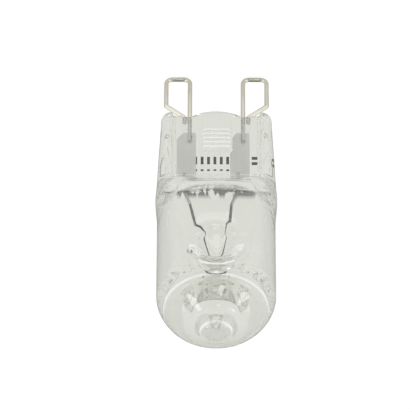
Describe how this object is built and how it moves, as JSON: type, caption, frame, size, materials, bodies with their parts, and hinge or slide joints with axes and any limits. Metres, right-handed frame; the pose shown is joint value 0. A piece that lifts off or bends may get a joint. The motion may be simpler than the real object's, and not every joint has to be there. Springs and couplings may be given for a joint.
{
  "type": "halogen capsule bulb",
  "caption": "Clear press-sealed quartz capsule bulb with a flat ribbed seal, wire loop pins, sealing foils, leads, a dimple-held coil filament and an exhaust tip at the nose.",
  "frame": {"origin": "on the lamp axis, in the plane where the pin wires enter the press seal", "axes": "+Z along the lamp axis from the pins to the nose, X across the two pins, Y through the thickness of the press seal"},
  "size_m": [0.014, 0.0136, 0.0429],
  "materials": {
    "quartz": "clear fire-polished",
    "pin_wire": "drawn bright",
    "seal_foil": "rolled satin",
    "lead_wire": "drawn",
    "filament": "dark sintered"
  },
  "bodies": {
    "root": {"quartz_envelope": "quartz", "pin_loop_left": "pin_wire", "pin_loop_right": "pin_wire", "seal_foil_left": "seal_foil", "seal_foil_right": "seal_foil", "inner_lead_left": "lead_wire", "inner_lead_right": "lead_wire", "filament": "filament"}
  },
  "joints": []
}
